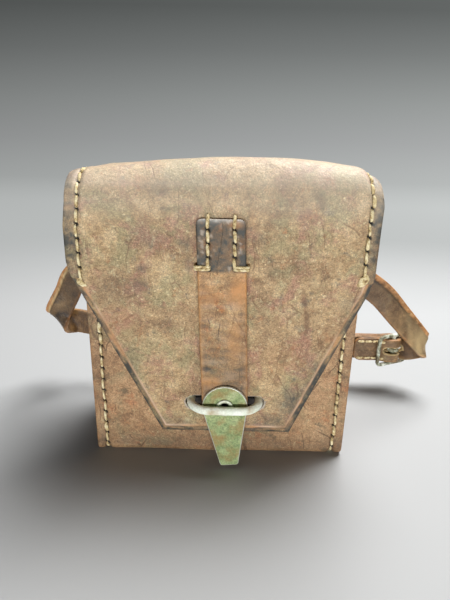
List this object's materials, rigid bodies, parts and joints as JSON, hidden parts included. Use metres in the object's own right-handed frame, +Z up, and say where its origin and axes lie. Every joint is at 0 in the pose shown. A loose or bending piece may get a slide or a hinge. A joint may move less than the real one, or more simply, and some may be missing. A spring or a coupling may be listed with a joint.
{
  "type": "leather instrument case",
  "caption": "Box-shaped leather case with a hinged lid, a strap, tongue and staple closure, and a buckled carrying strap in loops on its back.",
  "frame": {"origin": "middle of the case's flat base", "axes": "+Z up, -Y out of the front flap, +X to the right of someone who looks at the front"},
  "size_m": [0.2067, 0.086, 0.125],
  "materials": {
    "case_leather": "worn vegetable tanned leather, red-brown",
    "lid_leather": "scuffed vegetable tanned leather, grey-brown with bare light patches",
    "inner_leather": "darker leather with its flesh side inwards",
    "strap_leather": "greasy dark strap leather, worn along its edges",
    "carry_leather": "narrow strap leather, orange-brown at its cut edges",
    "green_paint": "old green enamel over steel, worn and rusty",
    "bare_steel": "dull steel",
    "linen_thread": "waxed linen thread, cream"
  },
  "bodies": {
    "case": {"body_wrap": "case_leather", "gusset_left": "inner_leather", "gusset_right": "inner_leather", "hinge_strip": "lid_leather", "back_loop_left": "inner_leather", "back_loop_right": "inner_leather", "bail": "green_paint", "bail_plate": "bare_steel"},
    "lid": {"lid_shell": "lid_leather", "lid_wing_left": "lid_leather", "lid_wing_right": "lid_leather", "strap_anchor": "strap_leather", "thread_bar_left": "linen_thread", "thread_bar_right": "linen_thread"},
    "closing_strap": {"closing_strap": "strap_leather", "strap_eyelet": "green_paint"},
    "tongue": {"tongue": "green_paint"},
    "carrying_strap": {"carrying_strap": "carry_leather", "strap_keeper": "carry_leather"},
    "buckle": {"buckle_frame": "green_paint"},
    "prong": {"buckle_prong": "bare_steel"}
  },
  "joints": [
    {"name": "lid_hinge", "type": "hinge", "parent": "case", "child": "lid", "pos_m": [0, 0.0285, 0.11415], "axis": [-1, 0, 0], "range_deg": [0, 150]},
    {"name": "strap_hinge", "type": "hinge", "parent": "lid", "child": "closing_strap", "pos_m": [0, -0.0335, 0.08415], "axis": [-1, 0, 0], "range_deg": [0, 130]},
    {"name": "tongue_swivel", "type": "hinge", "parent": "closing_strap", "child": "tongue", "pos_m": [0.0018, -0.0345, 0.0295], "axis": [0, -1, 0], "range_deg": [-13, 3]},
    {"name": "carry_slide", "type": "slide", "parent": "case", "child": "carrying_strap", "axis": [1, 0, 0], "range_m": [-0.006, 0.006]},
    {"name": "buckle_rock", "type": "hinge", "parent": "carrying_strap", "child": "buckle", "pos_m": [0.0955, 0.038, 0.0238], "axis": [0, 0, 1], "range_deg": [-1, 10]},
    {"name": "prong_lift", "type": "hinge", "parent": "buckle", "child": "prong", "pos_m": [0.0955, 0.038, 0.0238], "axis": [0, 0, 1], "range_deg": [0, 12]}
  ]
}
